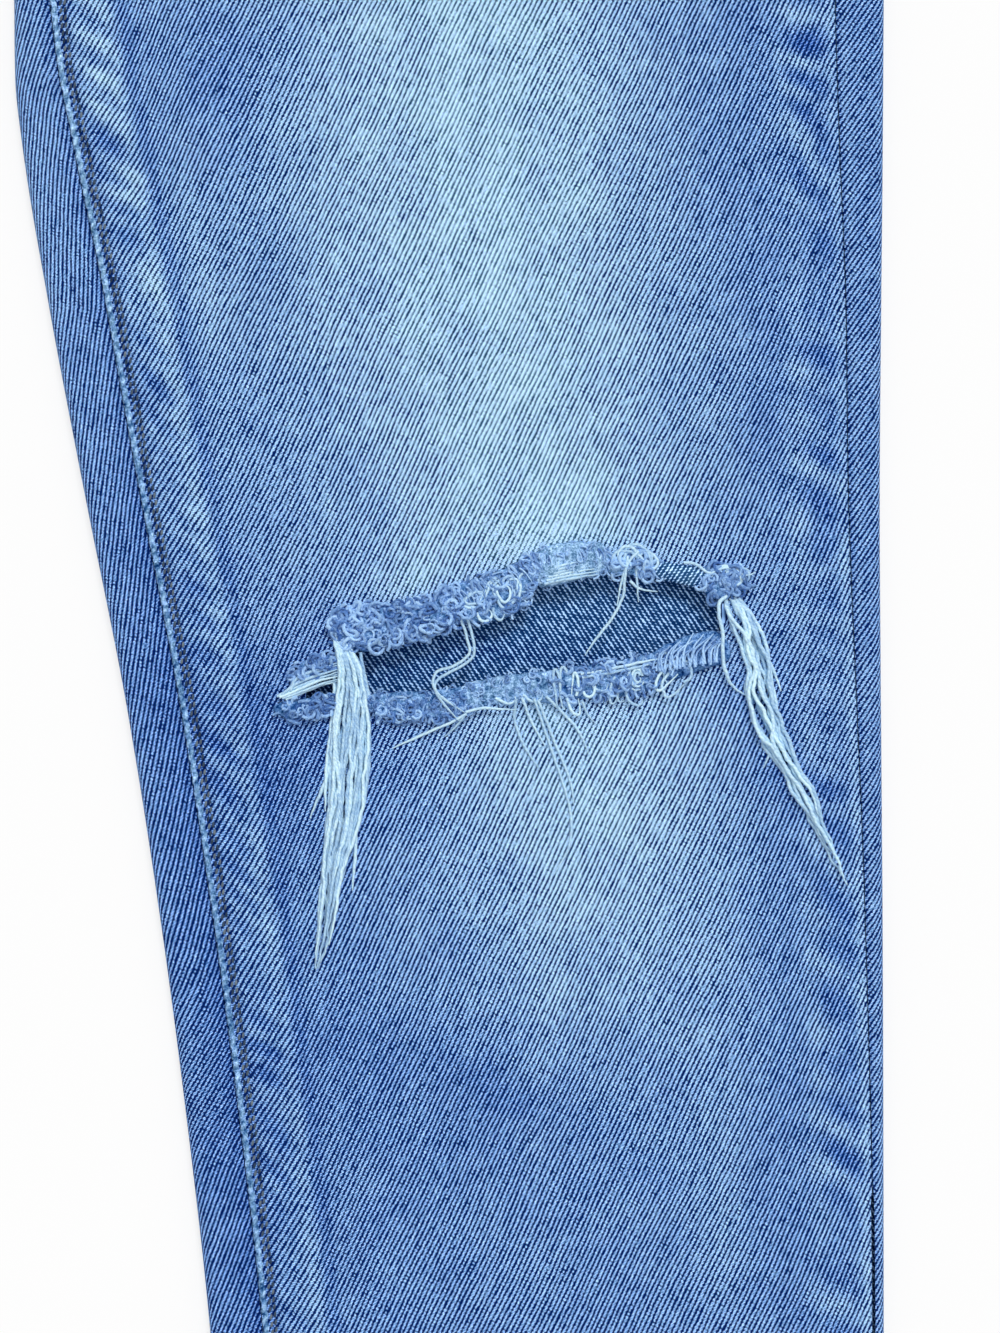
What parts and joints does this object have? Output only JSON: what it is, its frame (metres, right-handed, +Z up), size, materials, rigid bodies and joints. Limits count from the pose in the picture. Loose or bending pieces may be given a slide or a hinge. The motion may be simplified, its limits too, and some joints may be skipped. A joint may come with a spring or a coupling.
{
  "type": "ripped jeans",
  "caption": "Pair of faded blue straight-leg denim jeans with one frayed knee rip, laid flat with the front up.",
  "frame": {"origin": "on the surface that the jeans lie on, under the middle of their length and width", "axes": "+Y up the garment from the hems to the waist, +X towards the wearer's left leg, +Z up from the surface, out of the front"},
  "size_m": [0.477, 1.01, 0.0126],
  "materials": {
    "faded_denim": "matt, faded",
    "mid_denim": "matt",
    "blue_fray": "matt, fluffy",
    "white_yarn": "matt, fluffy",
    "aged_metal": "aged, satin"
  },
  "bodies": {
    "root": {"front_left": "faded_denim", "front_right": "faded_denim", "back_left": "mid_denim", "back_right": "mid_denim", "yoke_left": "mid_denim", "yoke_right": "mid_denim", "waistband": "mid_denim", "fly": "faded_denim", "waist_button": "aged_metal", "belt_loop_front_left": "mid_denim", "belt_loop_front_right": "mid_denim", "belt_loop_back_left": "mid_denim", "belt_loop_back_right": "mid_denim", "belt_loop_centre": "mid_denim", "pocket_facing_left": "mid_denim", "pocket_facing_right": "mid_denim", "back_pocket_left": "mid_denim", "back_pocket_right": "mid_denim", "fray_top": "blue_fray", "fray_bottom": "blue_fray", "threads_inner": "white_yarn", "threads_outer": "white_yarn"}
  },
  "joints": []
}
